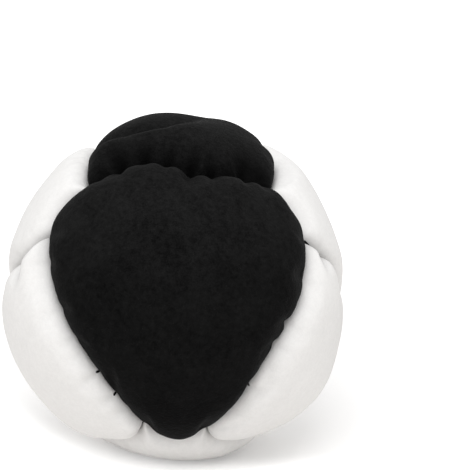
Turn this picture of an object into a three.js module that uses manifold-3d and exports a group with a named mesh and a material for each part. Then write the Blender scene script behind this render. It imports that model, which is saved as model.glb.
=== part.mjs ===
import * as THREE from 'three';
import { mergeVertices } from 'three/addons/utils/BufferGeometryUtils.js';
import Module from 'manifold-3d';

const wasm = await Module();
wasm.setup();

// Soft ball of eight three-cornered cloth panels, sewn inside out and stuffed.
// Sizes are in millimetres.

// Ball
const BALL_DIAMETER = 64; // across the crowns if all panels were alike
const REST_FLAT_DEPTH = 0.5; // how far the base panel is pressed flat

// Cloth panels
const CLOTH_THICKNESS = 0.9;
const SEAM_DEPTH = 5; // from the crown of a panel down to the seam
const EDGE_ROLL = 6; // width over which a panel rolls in to its seam
const EDGE_SQUARENESS = 2.5; // 2 is a quarter round, more is squarer
const SEAM_ALLOWANCE = 4; // width of the edge that is turned in below the seam
const SEAM_GAP = 0.3; // between the two turned-in edges of a seam

// Sewing
const THREAD_DIAMETER = 0.5;
const STITCH_PITCH = 4.2;
const STITCH_INSET = 2; // from the seam down to the line of stitches
const CORNER_MARGIN = 4; // seam left unsewn at each corner of a panel
const HOLE_CLEARANCE = 0.3; // between the thread and its needle hole, all round
const THREAD_CLEARANCE = 0.3; // between the thread and the cloth it lies on

// Crowns that stand above or below the ball's
const TOP_SWELL = 0.5;
const FRONT_SWELL = 0.4;
const LOWER_LEFT_SWELL = 0.6;
const LOWER_RIGHT_SWELL = 0.4;
const UPPER_LEFT_SAG = 0.6;
const UPPER_RIGHT_SAG = 0.4;

// Seams pulled out of an even net, in millimetres along the crowns
const FRONT_PULL_UP = 5.8; // seam of the front and top panels
const FRONT_PULL_LEFT = 3.8; // seam of the front and lower left panels
const FRONT_PULL_RIGHT = 4.7; // seam of the front and lower right panels
const FRONT_PULL_DOWN = 5.8; // lower corner of the front panel
const FRONT_CORNER_PULL = 1.7; // right corner of the front panel
const TOP_PULL_LEFT = 3.3; // seam of the top and upper left panels
const TOP_PULL_RIGHT = 1.1; // seam of the top and upper right panels
const RIGHT_PULL_DOWN = 2.3; // seam of the upper right and lower right panels
const PULL_REACH = 24; // distance at which a pull has died out

// Stuffing
const FILL_CLEARANCE = 0.8; // between the stuffing and the cloth or thread

// Slack fold across the top panel, as a curve seen from above with the front at the bottom
const FOLD_DEPTH = 3.2;
const FOLD_HALF_WIDTH = 3;
const FOLD_START = new THREE.Vector2(-15, 0.3);
const FOLD_BEND = new THREE.Vector2(-5, -5.5);
const FOLD_END = new THREE.Vector2(3, 4);

// Counts
const PANEL_ROWS = 15;
const FOLD_PANEL_ROWS = 29;
const STUFFING_ROWS = 8;
const ROW_CROWDING = 1.5; // above 1, rows lie closer together near the seams
const FOLD_ROW_CROWDING = 1.1;
const THREAD_SIDES = 5;
const FOLD_SAMPLES = 24;
const ROUND_SEGMENTS = 24;

const CROWN_RADIUS = BALL_DIAMETER / 2;
const INNER_CROWN = CROWN_RADIUS - CLOTH_THICKNESS;
const SEAM_RADIUS = CROWN_RADIUS - SEAM_DEPTH;
const STITCH_RADIUS = SEAM_RADIUS - STITCH_INSET;
const OPENING_RADIUS = SEAM_RADIUS - SEAM_ALLOWANCE;
const OUTER_WALL = SEAM_GAP / 2;
const INNER_WALL = OUTER_WALL + CLOTH_THICKNESS;
const THREAD_OFFSET = INNER_WALL + THREAD_CLEARANCE + THREAD_DIAMETER / 2;
const THREAD_TAIL = CORNER_MARGIN / 2;
const STUFFING_WALL = THREAD_OFFSET + THREAD_DIAMETER / 2 + FILL_CLEARANCE;
const INNERMOST_THREAD = STITCH_RADIUS - THREAD_DIAMETER / 2;
const STUFFING_CORE_RADIUS = Math.min(OPENING_RADIUS, INNERMOST_THREAD) - FILL_CLEARANCE;
const HOLE_CORNER = THREAD_DIAMETER + 2 * HOLE_CLEARANCE; // from its middle, if three-sided
const STITCH_ANGLE = STITCH_PITCH / STITCH_RADIUS;
const SEWN_ANGLE = Math.PI / 2 - (2 * CORNER_MARGIN) / STITCH_RADIUS;
const STITCH_COUNT = Math.floor(SEWN_ANGLE / STITCH_ANGLE);

// The seams lie in three square planes. In their frame each panel fills one octant, and the
// top panel is the octant where all three coordinates are positive.
const RIGHT = new THREE.Vector3(0, -1, 1).normalize();
const BACK = new THREE.Vector3(2, -1, -1).normalize();
const UP = new THREE.Vector3(1, 1, 1).normalize();

// Each pull starts at a point of the even net and moves the seams there towards one octant.
const SEAM_PULLS = [
  { from: [0, 1, 1], towards: [1, 1, 1], by: FRONT_PULL_UP },
  { from: [-1, 1, 0], towards: [-1, 1, -1], by: FRONT_PULL_LEFT },
  { from: [-1, 0, 1], towards: [-1, -1, 1], by: FRONT_PULL_RIGHT },
  { from: [-1, 0, 0], towards: [-1, -1, -1], by: FRONT_PULL_DOWN },
  { from: [0, 0, 1], towards: [1, -1, 1], by: FRONT_CORNER_PULL },
  { from: [1, 1, 0], towards: [1, 1, 1], by: TOP_PULL_LEFT },
  { from: [1, 0, 1], towards: [1, 1, 1], by: TOP_PULL_RIGHT },
  { from: [0, -1, 1], towards: [-1, -1, 1], by: RIGHT_PULL_DOWN },
].map(({ from, towards, by }) => {
  const start = new THREE.Vector3(...from).normalize();
  const aim = new THREE.Vector3(...towards);
  return { start, step: aim.projectOnPlane(start).setLength(by / CROWN_RADIUS) };
});

const CLOTH_BLACK = { color: 0x15151a, roughness: 0.95, metalness: 0 };
const CLOTH_WHITE = { color: 0xf0efec, roughness: 0.95, metalness: 0 };
const THREAD_GREY = { color: 0x3a3a3c, roughness: 0.8, metalness: 0 };
const FIBRE_WHITE = { color: 0xe8e6e0, roughness: 1, metalness: 0 };

function solidOf(geometry) {
  geometry.deleteAttribute('normal');
  geometry.deleteAttribute('uv');
  const merged = mergeVertices(geometry, 1e-5);
  return new wasm.Manifold(new wasm.Mesh({
    numProp: 3,
    vertProperties: Float32Array.from(merged.attributes.position.array),
    triVerts: Uint32Array.from(merged.index.array),
  }));
}

function geometryOf(solid) {
  const mesh = solid.getMesh();
  const geometry = new THREE.BufferGeometry();
  geometry.setAttribute('position', new THREE.BufferAttribute(mesh.vertProperties, 3));
  geometry.setIndex(new THREE.BufferAttribute(mesh.triVerts, 1));
  geometry.computeVertexNormals();
  return geometry;
}

function bufferOf(points, triangles) {
  const geometry = new THREE.BufferGeometry().setFromPoints(points);
  geometry.setIndex(triangles.flat());
  return geometry;
}

// Share of the full crown height that a panel reaches at a distance from its seam plane.
function edgeRise(distance) {
  const short = 1 - Math.min(Math.max(distance / EDGE_ROLL, 0), 1);
  return (1 - short ** EDGE_SQUARENESS) ** (1 / EDGE_SQUARENESS);
}

// Point of the even net after all pulls, at the same distance from the middle of the ball.
function pulled(point) {
  const direction = point.clone().normalize();
  const moved = direction.clone();
  for (const { start, step } of SEAM_PULLS) {
    const away = (direction.angleTo(start) * CROWN_RADIUS) / PULL_REACH;
    moved.addScaledVector(step, Math.max(0, 1 - away * away));
  }
  return moved.setLength(point.length());
}

// Geometry turned to its place in the even net and then pulled.
function placedAndPulled(geometry, turn) {
  const placed = geometry.clone().applyMatrix4(turn);
  const { position } = placed.attributes;
  const point = new THREE.Vector3();
  for (let n = 0; n < position.count; n += 1) {
    position.setXYZ(n, ...pulled(point.fromBufferAttribute(position, n)).toArray());
  }
  return placed;
}

const foldCurve = new THREE.QuadraticBezierCurve(FOLD_START, FOLD_BEND, FOLD_END);
const foldPoints = foldCurve.getPoints(FOLD_SAMPLES);

// Depth of the slack fold at a direction of the even net.
function foldDip(direction) {
  const there = pulled(direction);
  const seen = new THREE.Vector2(there.dot(RIGHT), there.dot(BACK));
  seen.multiplyScalar(CROWN_RADIUS);
  const nearest = Math.min(...foldPoints.map((point) => point.distanceTo(seen)));
  return FOLD_DEPTH * Math.exp(-((nearest / FOLD_HALF_WIDTH) ** 2));
}

const noDip = () => 0;

// Puffed octant: three flat walls parallel to the seam planes and a crown that rolls in to them.
// The swell lifts the crown and leaves the seams where they are.
function puffedOctant({ wall, crown, swell = 0, dip, rows, crowding = ROW_CROWDING }) {
  const apex = new THREE.Vector3(wall, wall, wall);
  const points = [apex];
  const place = new Map();
  for (let i = 0; i <= rows; i += 1) {
    for (let j = 0; j <= rows - i; j += 1) {
      const turns = [i, j, rows - i - j].map((n) => (n / rows) ** crowding);
      const shares = turns.map((turn) => Math.sin((turn * Math.PI) / 2));
      const direction = new THREE.Vector3(...shares).normalize();
      const reach = (radius) => {
        const along = apex.dot(direction);
        return Math.sqrt(along * along - apex.lengthSq() + radius * radius) - along;
      };
      const full = reach(crown + swell);
      const rise = direction.toArray().reduce((all, part) => all * edgeRise(full * part), 1);
      const drop = SEAM_DEPTH * (1 - rise) + (dip(direction) - swell) * rise;
      place.set(`${i} ${j}`, points.length);
      points.push(direction.multiplyScalar(reach(crown - drop)).add(apex));
    }
  }
  const at = (i, j) => place.get(`${i} ${j}`);
  const triangles = [];
  for (let i = 0; i < rows; i += 1) {
    for (let j = 0; j < rows - i; j += 1) {
      triangles.push([at(i, j), at(i + 1, j), at(i, j + 1)]);
      if (i + j < rows - 1) {
        triangles.push([at(i + 1, j), at(i + 1, j + 1), at(i, j + 1)]);
      }
    }
    triangles.push([0, at(i, 0), at(i + 1, 0)].reverse());
    triangles.push([0, at(0, i + 1), at(0, i)].reverse());
    triangles.push([0, at(i + 1, rows - i - 1), at(i, rows - i)].reverse());
  }
  return solidOf(bufferOf(points, triangles));
}

// Takes off everything lower than a level measured down from the middle of the ball.
function pressFlat(solid, level) {
  const slab = new THREE.BoxGeometry(BALL_DIAMETER, BALL_DIAMETER, BALL_DIAMETER);
  slab.translate(0, 0, -level - BALL_DIAMETER / 2);
  slab.applyQuaternion(new THREE.Quaternion().setFromUnitVectors(new THREE.Vector3(0, 0, 1), UP));
  return solid.subtract(solidOf(slab));
}

// Angles of the needle holes along a quarter seam, evenly about its middle.
function stitchAngles() {
  const first = Math.PI / 4 - (STITCH_COUNT * STITCH_ANGLE) / 2;
  return Array.from({ length: STITCH_COUNT + 1 }, (_, n) => first + n * STITCH_ANGLE);
}

// Point on the stitch line of the seam in the plane of the first two axes.
function onStitchLine(angle, offset) {
  const x = STITCH_RADIUS * Math.cos(angle);
  const y = STITCH_RADIUS * Math.sin(angle);
  return new THREE.Vector3(x, y, offset);
}

// Needle holes of the three turned-in edges of a panel, three-sided like a leather needle.
function needleHoles() {
  const holes = [];
  const depth = 2 * (INNER_WALL + THREAD_CLEARANCE);
  const turn = new THREE.Quaternion();
  for (let side = 0; side < 3; side += 1) {
    turn.setFromAxisAngle(UP, (side * 2 * Math.PI) / 3);
    for (const angle of stitchAngles()) {
      const hole = new THREE.CylinderGeometry(HOLE_CORNER, HOLE_CORNER, depth, 3);
      hole.rotateX(Math.PI / 2);
      hole.rotateZ(angle);
      hole.translate(...onStitchLine(angle, 0).toArray());
      hole.applyQuaternion(turn);
      holes.push(solidOf(hole));
    }
  }
  return wasm.Manifold.union(holes);
}

const opening = solidOf(new THREE.SphereGeometry(OPENING_RADIUS, ROUND_SEGMENTS, ROUND_SEGMENTS / 2));
const holes = needleHoles();

// Outside and inside of a panel's cloth, both as solid octants of the even net.
function panelSkins({ swell, dip = noDip, rows = PANEL_ROWS, crowding }) {
  const shape = { swell, dip, rows, crowding };
  return {
    outside: puffedOctant({ wall: OUTER_WALL, crown: CROWN_RADIUS, ...shape }),
    inside: puffedOctant({ wall: INNER_WALL, crown: INNER_CROWN, ...shape }),
  };
}

// Solid octant in its panel's place, pressed flat where the panel lies on the ground.
function inPlace(octant, panel, lowest) {
  const solid = solidOf(placedAndPulled(geometryOf(octant), octantTurn(panel)));
  return panel.resting ? pressFlat(solid, lowest - REST_FLAT_DEPTH) : solid;
}

// Cloth panel: crown, rolled edges and three turned-in edges, open towards the middle.
function panelGeometry(panel) {
  const { outside, inside } = panelSkins(panel);
  if (panel.resting) {
    const pressed = inPlace(outside, panel, CROWN_RADIUS).subtract(opening);
    const hollow = inPlace(inside, panel, INNER_CROWN);
    return geometryOf(pressed.subtract(hollow).subtract(inPlace(holes, panel, CROWN_RADIUS)));
  }
  const cloth = outside.subtract(inside).subtract(opening).subtract(holes);
  return placedAndPulled(geometryOf(cloth), octantTurn(panel));
}

// Thread of one seam: a running stitch that changes sides at every needle hole.
function threadGeometry() {
  const path = [];
  const angles = stitchAngles();
  const tail = THREAD_TAIL / STITCH_RADIUS;
  let offset = THREAD_OFFSET;
  path.push(onStitchLine(angles[0] - tail, offset));
  for (const angle of angles) {
    path.push(onStitchLine(angle, offset));
    offset = -offset;
    path.push(onStitchLine(angle, offset));
  }
  path.push(onStitchLine(angles.at(-1) + tail, offset));

  const points = [];
  const triangles = [];
  path.forEach((point, n) => {
    const out = new THREE.Vector3(point.x, point.y, 0).normalize();
    const before = point.clone().sub(path[Math.max(n - 1, 0)]);
    const after = path[Math.min(n + 1, path.length - 1)].clone().sub(point);
    const sides = [before, after].filter((leg) => leg.length() > 0)
      .map((leg) => new THREE.Vector3().crossVectors(out, leg).normalize());
    const across = sides.reduce((sum, side) => sum.add(side), new THREE.Vector3()).normalize();
    across.divideScalar(across.dot(sides[0]));
    for (let k = 0; k < THREAD_SIDES; k += 1) {
      const turn = (2 * Math.PI * k) / THREAD_SIDES;
      points.push(point.clone()
        .addScaledVector(out, (Math.cos(turn) * THREAD_DIAMETER) / 2)
        .addScaledVector(across, (Math.sin(turn) * THREAD_DIAMETER) / 2));
    }
  });
  const at = (n, k) => n * THREAD_SIDES + (k % THREAD_SIDES);
  const last = path.length - 1;
  for (let n = 0; n < last; n += 1) {
    for (let k = 0; k < THREAD_SIDES; k += 1) {
      triangles.push([at(n, k), at(n + 1, k), at(n, k + 1)]);
      triangles.push([at(n, k + 1), at(n + 1, k), at(n + 1, k + 1)]);
    }
  }
  for (let k = 1; k < THREAD_SIDES - 1; k += 1) {
    triangles.push([at(0, 0), at(0, k), at(0, k + 1)]);
    triangles.push([at(last, 0), at(last, k + 1), at(last, k)]);
  }
  return bufferOf(points, triangles);
}

// Turn that carries the first octant to another one: over the first axis, then round the third.
function octantTurn({ over, quarters }) {
  const turn = new THREE.Euler(over ? Math.PI : 0, 0, (quarters * Math.PI) / 2, 'ZYX');
  return new THREE.Matrix4().makeRotationFromEuler(turn);
}

const TOP_SHAPE = {
  swell: TOP_SWELL,
  dip: foldDip,
  rows: FOLD_PANEL_ROWS,
  crowding: FOLD_ROW_CROWDING,
};

const PANELS = [
  { name: 'top_panel', over: false, quarters: 0, cloth: CLOTH_BLACK, ...TOP_SHAPE },
  { name: 'front_panel', over: false, quarters: 1, cloth: CLOTH_BLACK, swell: FRONT_SWELL },
  { name: 'lower_right_panel', over: false, quarters: 2, cloth: CLOTH_WHITE, swell: LOWER_RIGHT_SWELL },
  { name: 'upper_right_panel', over: false, quarters: 3, cloth: CLOTH_WHITE, swell: -UPPER_RIGHT_SAG },
  { name: 'back_panel', over: true, quarters: 0, cloth: CLOTH_WHITE },
  { name: 'upper_left_panel', over: true, quarters: 1, cloth: CLOTH_WHITE, swell: -UPPER_LEFT_SAG },
  { name: 'lower_left_panel', over: true, quarters: 2, cloth: CLOTH_WHITE, swell: LOWER_LEFT_SWELL },
  { name: 'base_panel', over: true, quarters: 3, cloth: CLOTH_WHITE, resting: true },
];

// Seams of the three planes, four quarters each, in the order of a quarter turn.
const SEAM_RINGS = [
  ['top_upper_left', 'front_lower_left', 'lower_right_base', 'upper_right_back'],
  ['front_top', 'upper_right_lower_right', 'back_base', 'upper_left_lower_left'],
  ['top_upper_right', 'upper_left_back', 'lower_left_base', 'front_lower_right'],
];

function meshOf(name, geometry, look) {
  const mesh = new THREE.Mesh(geometry, new THREE.MeshStandardMaterial(look));
  mesh.name = name;
  return mesh;
}

// Lobe of the stuffing in one panel. Below a fold it follows the inside of the cloth.
function stuffingLobe(panel) {
  const octant = { wall: STUFFING_WALL, swell: panel.swell, dip: noDip, rows: STUFFING_ROWS };
  const crown = INNER_CROWN - FILL_CLEARANCE;
  if (!panel.dip) {
    return inPlace(puffedOctant({ ...octant, crown }), panel, crown);
  }
  const below = geometryOf(panelSkins(panel).inside);
  below.translate(...UP.clone().multiplyScalar(-FILL_CLEARANCE).toArray());
  const lobe = puffedOctant({ ...octant, crown: INNER_CROWN }).intersect(solidOf(below));
  return inPlace(lobe, panel, crown);
}

// Stuffing: a ball inside the turned-in edges with a lobe in every panel.
function stuffingGeometry() {
  const core = new THREE.SphereGeometry(STUFFING_CORE_RADIUS, ROUND_SEGMENTS, ROUND_SEGMENTS / 2);
  return geometryOf(wasm.Manifold.union([solidOf(core), ...PANELS.map(stuffingLobe)]));
}

// Seam frame, turned so that the top panel faces up and the front panel faces the front.
const seamFrame = new THREE.Group();
const upright = new THREE.Matrix4().makeBasis(RIGHT, BACK, UP).transpose();
seamFrame.setRotationFromMatrix(upright);
seamFrame.position.z = CROWN_RADIUS - REST_FLAT_DEPTH;

for (const panel of PANELS) {
  seamFrame.add(meshOf(panel.name, panelGeometry(panel), panel.cloth));
}

const thread = threadGeometry();
SEAM_RINGS.forEach((ring, plane) => {
  const toPlane = new THREE.Matrix4().makeRotationAxis(UP, (plane * 2 * Math.PI) / 3);
  ring.forEach((seam, quarter) => {
    const turn = new THREE.Matrix4().makeRotationZ((quarter * Math.PI) / 2).premultiply(toPlane);
    seamFrame.add(meshOf(`thread_${seam}`, placedAndPulled(thread, turn), THREAD_GREY));
  });
});

seamFrame.add(meshOf('stuffing', stuffingGeometry(), FIBRE_WHITE));

const softBall = new THREE.Group();
softBall.name = 'soft_ball';
softBall.add(seamFrame);

export default softBall;
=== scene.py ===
"""Soft ball of eight sewn cloth panels, lying on a pale floor.

A net of seam curves on a ball gives the borders of the panels. Each panel is a patch of cloth that
rolls in to a crease at its border, is gathered at the stitches and swells between them.
"""
import math
from collections import namedtuple

import bpy
import numpy as np
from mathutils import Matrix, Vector


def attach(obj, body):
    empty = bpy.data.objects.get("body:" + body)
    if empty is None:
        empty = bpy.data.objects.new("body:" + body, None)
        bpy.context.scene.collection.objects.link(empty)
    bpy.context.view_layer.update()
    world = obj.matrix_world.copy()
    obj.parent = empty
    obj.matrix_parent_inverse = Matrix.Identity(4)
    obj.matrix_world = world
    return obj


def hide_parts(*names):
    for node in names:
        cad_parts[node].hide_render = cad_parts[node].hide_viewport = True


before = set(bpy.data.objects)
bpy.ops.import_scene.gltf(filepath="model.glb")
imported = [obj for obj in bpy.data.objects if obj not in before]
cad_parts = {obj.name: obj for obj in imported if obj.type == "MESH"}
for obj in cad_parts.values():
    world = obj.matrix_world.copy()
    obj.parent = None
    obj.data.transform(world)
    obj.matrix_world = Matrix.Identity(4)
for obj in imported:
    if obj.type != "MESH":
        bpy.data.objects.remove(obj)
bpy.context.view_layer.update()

# Lengths are in millimetres until a mesh is made.
MM = 0.001
BALL_RADIUS = 32.0
BALL_CENTRE = np.array((0.0, 0.0, 31.5))
SEAM_RADIUS = 27.0

# Front view: a square picture, in which the ball has this middle and radius in pixels
PICTURE_SIDE = 470.0
BALL_IN_PICTURE = (174.5, 287.0)
RADIUS_IN_PICTURE = 171.0
VIEW_ELEVATION = math.radians(19.3)
CAMERA_LENS = 200.0
CAMERA_SENSOR = 36.0
VIEW_DISTANCE = PICTURE_SIDE / RADIUS_IN_PICTURE * CAMERA_LENS / CAMERA_SENSOR
TOWARDS = np.array((0.0, -math.cos(VIEW_ELEVATION), math.sin(VIEW_ELEVATION)))
RIGHT = np.array((1.0, 0.0, 0.0))
UP = np.cross(TOWARDS, RIGHT)

# Cloth
CLOTH_THICKNESS = 0.8
STITCH_PITCH = 4.4
STITCH_WANDER = 0.14
GRID = 72
SEAM_POINTS = 240
STRETCH_POINTS = 60
LOOP_POINTS = 1152
ROW_CROWDING = 1.35
GAP_POWER = 5.0

# Points of the front view lie on a ball of this share of the radius. From a slant of the view on,
# in degrees, an edge hides its seam more the flatter it is seen: the share of the radius at which
# the edge lies and the angle from there to the seam start at the first value and grow by the
# second.
SEEN_SHARE = 0.97
SLANT_START = 40.0
SLANT_RANGE = 35.0
SLANT_MOST = 1.2
EDGE_SHARE = (0.945, 0.045)
EDGE_TILT = (1.6, 4.1)


def unit(v):
    """Vectors along the last axis divided by their lengths."""
    v = np.asarray(v, float)
    return v / np.linalg.norm(v, axis=-1, keepdims=True)


def resample(points, places):
    """Points of a polyline at places counted in its steps."""
    steps = np.arange(len(points))
    return np.stack([np.interp(places, steps, points[:, k]) for k in range(points.shape[1])], 1)


def even_steps(points, count, closed=False):
    """Directions along a polyline on the unit ball at count equal distances."""
    if closed:
        points = np.vstack((points, points[:1]))
    run = np.concatenate(([0.0], np.cumsum(np.linalg.norm(np.diff(points, axis=0), axis=1))))
    even = np.linspace(0.0, run[-1], count, endpoint=not closed)
    return unit(np.stack([np.interp(even, run, points[:, k]) for k in range(3)], axis=1))


def seen_at(px, py, share=SEEN_SHARE):
    """Direction from the ball's middle to the point of the front view at px right and py down, on
    the near side of a ball of share times the radius."""
    x = (px - BALL_IN_PICTURE[0]) / RADIUS_IN_PICTURE
    y = (BALL_IN_PICTURE[1] - py) / RADIUS_IN_PICTURE
    eye = VIEW_DISTANCE * TOWARDS
    ray = unit(x * RIGHT + y * UP - eye)
    half = -np.dot(ray, eye)
    square = half * half - np.dot(eye, eye) + share * share
    return unit(eye + (half - math.sqrt(max(square, 0.0))) * ray)


def behind_edge(px, py):
    """Direction of a seam hidden behind the rounded edge that the front view shows at px, py. The
    flatter the view along the cloth, the further behind the edge the seam lies."""
    slant = math.degrees(math.acos(np.dot(seen_at(px, py), TOWARDS)))
    step = np.clip((slant - SLANT_START) / SLANT_RANGE, 0.0, SLANT_MOST)
    rounded = seen_at(px, py, EDGE_SHARE[0] + EDGE_SHARE[1] * step)
    across = unit(rounded - np.dot(rounded, TOWARDS) * TOWARDS)
    tilt = math.acos(np.dot(rounded, TOWARDS)) + math.radians(EDGE_TILT[0] + EDGE_TILT[1] * step)
    return math.cos(tilt) * TOWARDS + math.sin(tilt) * across


def on_rim(angle, forward=0.0):
    """Direction on the outline of the front view, by its angle from the right, tipped forward."""
    a, f = math.radians(angle), math.radians(forward)
    rim = math.cos(a) * RIGHT + math.sin(a) * UP
    return math.cos(f) * rim + math.sin(f) * TOWARDS


def seen(*points):
    """Directions of several points of the front view."""
    return [seen_at(*p) for p in points]


def edge(*points):
    """Directions of the seam behind several edge points of the front view."""
    return [behind_edge(*p) for p in points]


# The even net is an octahedron's: three axes, and a panel in each of the eight octants.
THIRD = 2.0 * math.pi / 3.0
SEAM_AXES = [
    np.array((math.sqrt(2 / 3) * math.cos(t), math.sqrt(2 / 3) * math.sin(t), math.sqrt(1 / 3)))
    for t in (THIRD * 0.75, -THIRD * 0.25, THIRD * 1.75)
]

# Panels: place in the net, height of the crown, width and squareness of the rolled edge, fullness
# and cloth. A squareness of 2 is a quarter round.
PANELS = {
    "top": {"octant": (1, 1, 1), "crown": 32.4, "roll": 8.5, "square": 2.2, "fill": 0.35,
            "cloth": "black_cloth"},
    "front": {"octant": (-1, 1, 1), "crown": 32.3, "roll": 6.5, "square": 2.7, "fill": 0.8,
              "cloth": "black_cloth"},
    "upper_right": {"octant": (1, 1, -1), "crown": 31.3, "roll": 5.0, "square": 2.7, "fill": 0.7,
                    "cloth": "white_cloth"},
    "upper_left": {"octant": (1, -1, 1), "crown": 31.3, "roll": 5.0, "square": 2.7, "fill": 0.7,
                   "cloth": "white_cloth"},
    "lower_right": {"octant": (-1, 1, -1), "crown": 31.75, "roll": 4.6, "square": 2.7, "fill": 0.8,
                    "cloth": "white_cloth"},
    "lower_left": {"octant": (-1, -1, 1), "crown": 32.2, "roll": 4.6, "square": 2.7, "fill": 0.8,
                   "cloth": "white_cloth"},
    "back": {"octant": (1, -1, -1), "crown": 32.0, "roll": 5.0, "square": 2.7, "fill": 0.8,
             "cloth": "white_cloth"},
    "base": {"octant": (-1, -1, -1), "crown": 31.7, "roll": 5.0, "square": 2.7, "fill": 0.8,
             "cloth": "white_cloth"},
}
PANEL_NORMALS = {
    name: unit(sum(s * a for s, a in zip(panel["octant"], SEAM_AXES)))
    for name, panel in PANELS.items()
}
CORNER_DRAW = math.radians(10.0)


def far_corner(axis, sign, panel):
    """Corner on the far side: an octahedron's corner, drawn a little towards a panel's middle."""
    corner = sign * SEAM_AXES[axis]
    across = unit(PANEL_NORMALS[panel] - np.dot(PANEL_NORMALS[panel], corner) * corner)
    return math.cos(CORNER_DRAW) * corner + math.sin(CORNER_DRAW) * across


# Four panels are full at their corners and meet there in pairs. The other four lie between them.
CORNERS = {
    "top_left": behind_edge(88, 187),
    "top_right": behind_edge(275, 190),
    "top_back": far_corner(0, 1, "top"),
    "left_front": behind_edge(51.5, 233),
    "left_low": behind_edge(142, 423),
    "left_back": far_corner(1, -1, "lower_left"),
    "right_front": behind_edge(305, 240),
    "right_low": behind_edge(206, 429.5),
    "right_back": far_corner(2, -1, "lower_right"),
    "back_top": far_corner(0, 1, "back"),
    "back_left": far_corner(1, -1, "back"),
    "back_right": far_corner(2, -1, "back"),
}

# Seams: the two panels, the two corners and the points between them.
LONG_SEAMS = [
    ("front", "top", "top_left", "top_right",
     edge((117, 173), (150, 164), (177, 167), (195, 174), (231, 177))),
    ("front", "lower_left", "left_front", "left_low",
     edge((51, 270), (60, 303), (74, 334), (92, 363), (112, 391))),
    ("front", "lower_right", "right_front", "right_low",
     edge((305, 270), (299, 298), (286, 324), (267, 354), (248.5, 385), (229, 410), (215, 423))),
    ("top", "upper_left", "top_left", "top_back",
     seen((80, 175), (82, 159), (87, 146)) + [on_rim(118.5), on_rim(113, -12)]),
    ("top", "upper_right", "top_right", "top_back",
     seen((282.5, 176), (280, 160), (266.5, 146)) + [on_rim(61.5), on_rim(66, -12)]),
    ("upper_left", "lower_left", "left_front", "left_back",
     seen((36, 241), (22, 256)) + [on_rim(179.5)]),
    ("upper_right", "lower_right", "right_front", "right_back",
     seen((319, 246), (332, 262)) + [on_rim(-3.5)]),
    ("lower_left", "base", "left_low", "left_back",
     edge((136, 435), (122, 439)) + [on_rim(241, 3)]),
    ("lower_right", "base", "right_low", "right_back",
     edge((209.5, 439.5), (231, 443.5)) + [on_rim(-64.5, 2)]),
    ("upper_left", "back", "back_top", "back_left", []),
    ("upper_right", "back", "back_top", "back_right", []),
    ("back", "base", "back_left", "back_right", []),
]
CORNER_SEAMS = [
    ("front", "upper_left", "top_left", "left_front", edge((67, 205), (57, 219))),
    ("front", "upper_right", "top_right", "right_front", edge((289, 207), (300, 224))),
    ("front", "base", "left_low", "right_low",
     edge((151, 430), (164, 436), (180, 438.5), (195, 435))),
    ("upper_left", "upper_right", "top_back", "back_top", []),
    ("upper_left", "base", "left_back", "back_left", []),
    ("upper_right", "base", "right_back", "back_right", []),
]

# Stitches that show in the front view: position, and the depth of the gather that each makes in
# the first and in the second panel of its seam. Other seams have even stitches.
PLACED_STITCHES = {
    ("front", "top"): [
        (103, 180, 0.5, 1.0), (122, 172, 0.8, 2.8), (146, 165, 0.4, 2.6), (167, 167, 0.9, 2.0),
        (190, 175, 1.5, 3.2), (213, 181, 1.1, 2.4), (245, 184, 0.9, 2.4), (262, 186, 0.3, 1.0),
    ],
    ("front", "lower_left"): [
        (50, 262, 0.4, 0.3), (54, 286, 0.2, 0.2), (63, 308, 0.5, 0.4), (77, 335, 0.3, 0.4),
        (84, 350, 0.2, 0.3), (96, 372, 0.4, 0.9), (110, 394, 0.4, 0.9), (125, 406, 0.3, 0.6),
    ],
    ("front", "lower_right"): [
        (302, 282, 0.3, 0.3), (296, 303, 0.2, 0.2), (285, 322, 1.4, 0.4), (273, 343, 0.9, 0.6),
        (262, 362, 0.2, 0.3), (249, 386, 0.2, 0.8), (230, 408, 0.2, 0.2),
    ],
    ("upper_left", "lower_left"): [
        (38, 240, 0.1, 0.2), (27, 254, 0.2, 3.2), (8, 280, 0.1, 0.3),
    ],
    ("upper_right", "lower_right"): [
        (308, 239, 0.1, 0.2), (319, 250, 0.2, 3.0), (338, 276, 0.1, 0.3),
    ],
    ("front", "upper_left"): [(66, 205, 0.1, 0.2)],
    ("front", "upper_right"): [(289, 207, 0.1, 0.2)],
    ("front", "base"): [(158, 434, 0.1, 0.2), (186, 438, 0.1, 0.2)],
    ("top", "upper_right"): [
        (279, 168, 0.5, 0.2), (272, 152, 0.4, 0.2), (268, 149.5, 2.2, 0.2), (240, 126, 0.4, 0.2),
    ],
}
PLAIN_GATHER = 0.3
GATHER_WANDER = 0.5

# Stitches whose thread shows: as a mark on the second panel's edge, or as a line along the first's
# at a distance from the seam. The line is thread and also painted shade: its dark stands in for the
# crease's shadow
THREAD_MARKS = {("front", "lower_left"): [5, 6], ("front", "lower_right"): [5]}
THREAD_SHADE_LINES = {("upper_right", "lower_right"): (0.3, [0])}

# Gathers: width at the seam and reach into the first and the second panel of a seam
GATHERS = {
    ("front", "top"): ((0.8, 6.0), (1.1, 3.4)),
    ("top", "upper_right"): ((0.9, 4.0), (0.5, 2.2)),
    ("upper_left", "lower_left"): ((0.5, 2.2), (0.8, 3.6)),
    ("upper_right", "lower_right"): ((0.5, 2.2), (0.8, 3.6)),
}
PLAIN_GATHERS = ((0.5, 2.2), (0.5, 2.2))
GATHER_SPREAD = 0.22
GATHER_FADE = 1.4
GATHER_START = 0.5
TIGHT_GATHER = 0.25

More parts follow.
